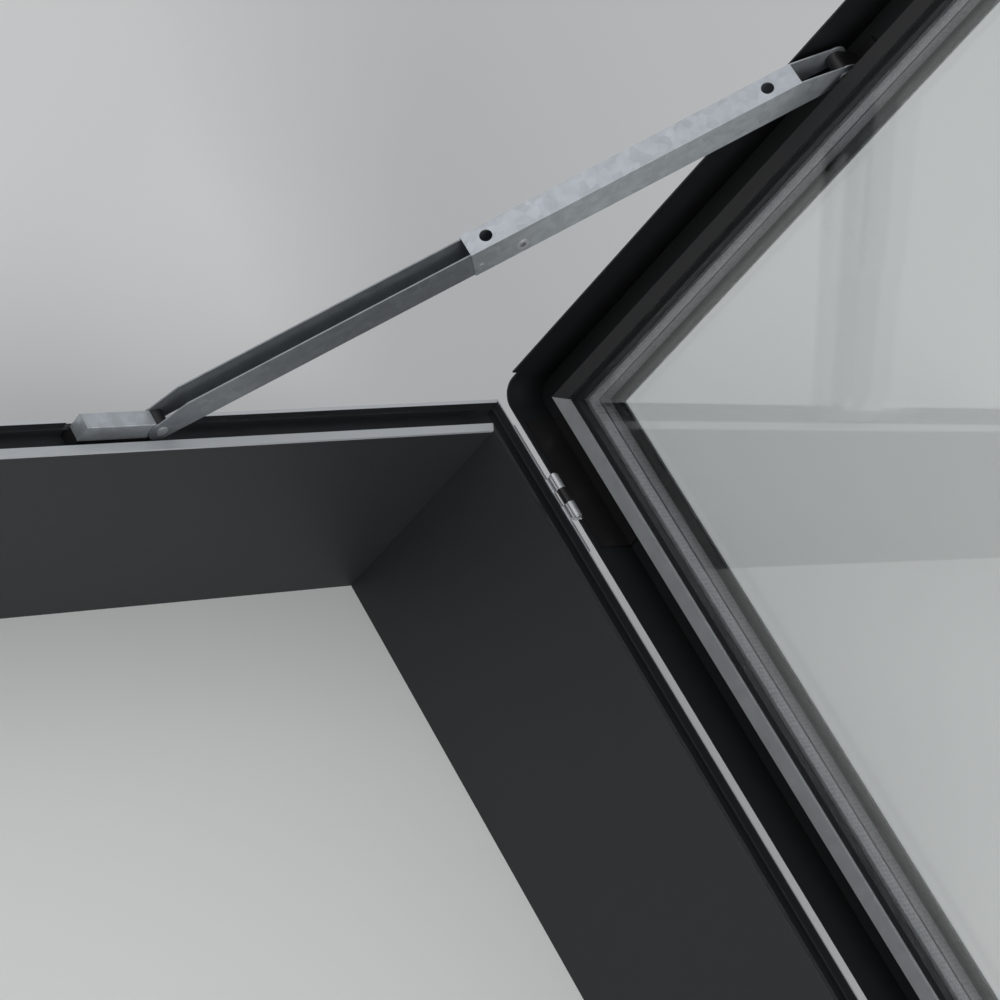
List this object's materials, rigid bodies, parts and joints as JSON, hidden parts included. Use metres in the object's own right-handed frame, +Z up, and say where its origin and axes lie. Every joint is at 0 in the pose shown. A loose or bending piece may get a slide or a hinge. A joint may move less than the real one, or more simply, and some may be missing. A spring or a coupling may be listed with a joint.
{
  "type": "roof skylight",
  "caption": "Side-hung roof skylight with a grooved anthracite frame and lining, an insulating-glass sash standing open and a channel stay sliding on a shoe.",
  "frame": {"origin": "centre of the four fixing holes, in the plane the brackets stand on", "axes": "+Z up out of the roof, +Y towards the head with the stay, +X towards the hinge side"},
  "size_m": [1.3401, 0.995, 1.437],
  "materials": {
    "frame_paint": "powder coated",
    "lining_paint": "powder coated",
    "galvanised": "satin",
    "lower_galvanised": "satin",
    "zinc_fastener": "satin",
    "hinge_steel": "satin",
    "sash_paint": "powder coated",
    "cover_metal": "satin",
    "light_seal": "matte",
    "clear_glass": "clear",
    "spacer_metal": "satin",
    "black_rubber": "matte",
    "shoe_plastic": "matte",
    "handle_metal": "satin"
  },
  "bodies": {
    "frame": {"frame_head": "frame_paint", "frame_sill": "frame_paint", "frame_hinge_side": "frame_paint", "frame_lock_side": "frame_paint", "lining_head": "lining_paint", "lining_sill": "lining_paint", "lining_hinge_side": "lining_paint", "lining_lock_side": "lining_paint", "fixing_brackets": "galvanised", "bracket_screws": "zinc_fastener", "hinge_frame_leaf_upper": "zinc_fastener", "hinge_frame_leaf_lower": "zinc_fastener", "hinge_pin_upper": "zinc_fastener", "hinge_pin_lower": "zinc_fastener", "hinge_frame_screws": "zinc_fastener", "lock_keeper": "hinge_steel", "keeper_screws": "zinc_fastener"},
    "sash": {"sash_rail_head": "sash_paint", "sash_rail_sill": "sash_paint", "sash_rail_hinge_side": "sash_paint", "sash_rail_lock_side": "sash_paint", "sash_cap": "cover_metal", "sash_seal": "light_seal", "pane_inner": "clear_glass", "pane_middle": "clear_glass", "pane_outer": "clear_glass", "spacer_inner": "spacer_metal", "spacer_outer": "spacer_metal", "edge_sealant": "black_rubber", "outer_gasket": "black_rubber", "hinge_sash_leaf_upper": "hinge_steel", "hinge_sash_leaf_lower": "hinge_steel", "hinge_sash_screws": "zinc_fastener", "stay_bracket": "hinge_steel", "stay_head_pin": "zinc_fastener", "handle_base": "handle_metal"},
    "arm": {"upper_channel": "galvanised", "lower_channel": "lower_galvanised", "elbow_rivet": "zinc_fastener", "foot_rivets": "zinc_fastener"},
    "shoe": {"stay_shoe": "shoe_plastic", "shoe_cap": "galvanised"},
    "handle": {"handle_lever": "handle_metal", "handle_cam": "handle_metal"}
  },
  "joints": [
    {"name": "sash_hinge", "type": "hinge", "parent": "frame", "child": "sash", "pos_m": [0.596, 0, 0.114], "axis": [0, -1, 0], "range_deg": [0, 92]},
    {"name": "stay_pivot", "type": "hinge", "parent": "sash", "child": "arm", "pos_m": [0.63266, 0.4764, 0.56199], "axis": [0, -1, 0], "range_deg": [-135, 0]},
    {"name": "shoe_slide", "type": "slide", "parent": "frame", "child": "shoe", "axis": [-1, 0, 0], "range_m": [0, 0.667]},
    {"name": "handle_turn", "type": "hinge", "parent": "sash", "child": "handle", "pos_m": [0.63109, 0, 1.23346], "axis": [0.9994, 0, -0.0349], "range_deg": [0, 90]}
  ],
  "couplings": [
    {"joint": "stay_pivot", "follows": "sash_hinge", "ratio": -1.4651},
    {"joint": "shoe_slide", "follows": "sash_hinge", "m_per_rad": 0.41493}
  ]
}
